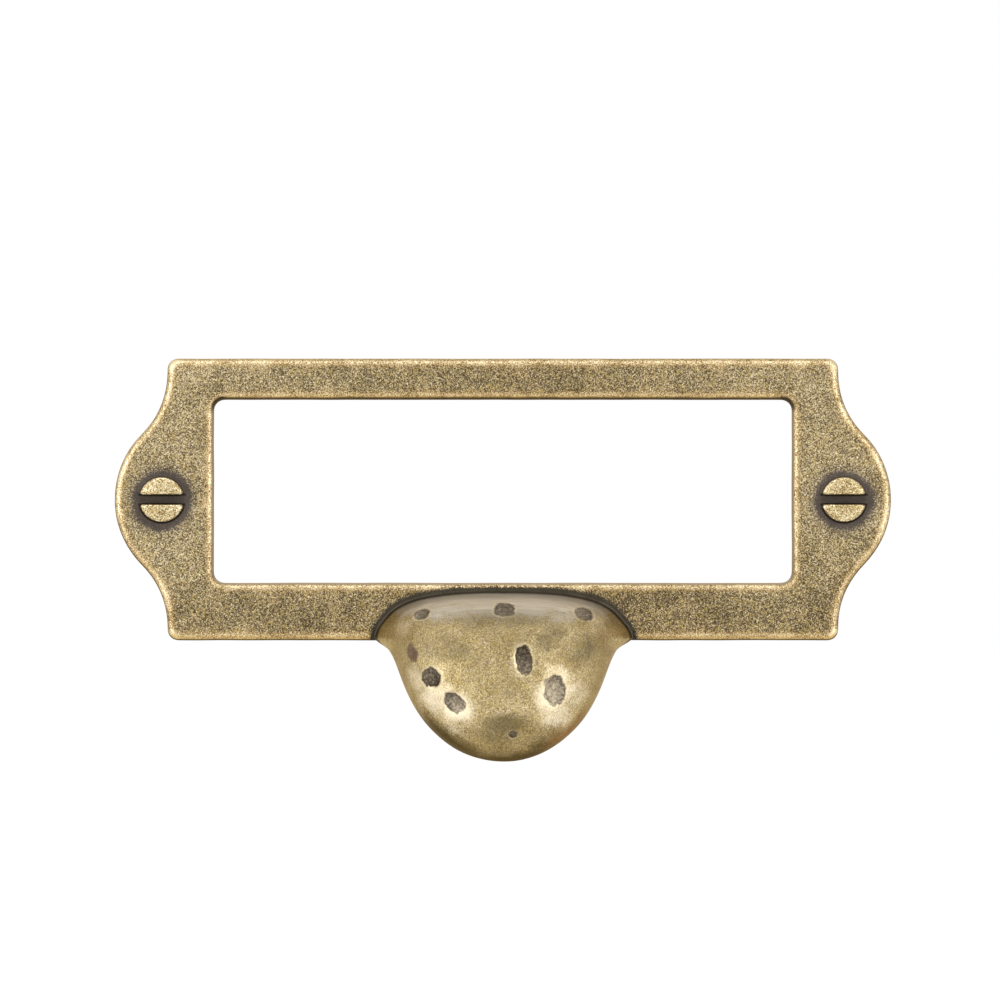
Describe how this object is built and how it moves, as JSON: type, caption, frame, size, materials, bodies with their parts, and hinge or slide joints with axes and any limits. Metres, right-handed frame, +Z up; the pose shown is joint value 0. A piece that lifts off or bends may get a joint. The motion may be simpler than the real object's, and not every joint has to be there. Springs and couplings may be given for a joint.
{
  "type": "label frame pull",
  "caption": "Cast label frame pull for a drawer front: windowed frame with ogee ends, cast screw heads and a hollow finger cup below.",
  "frame": {"origin": "on the flat back face, midway between the two fixing screws", "axes": "+X along the frame to the right as seen from the front, +Y into the drawer front, +Z up"},
  "size_m": [0.1094, 0.0195, 0.0565],
  "materials": {
    "antique_brass": "aged, satin with dark patina in the hollows and bright worn edges"
  },
  "bodies": {
    "root": {"frame_pull_casting": "antique_brass"}
  },
  "joints": []
}
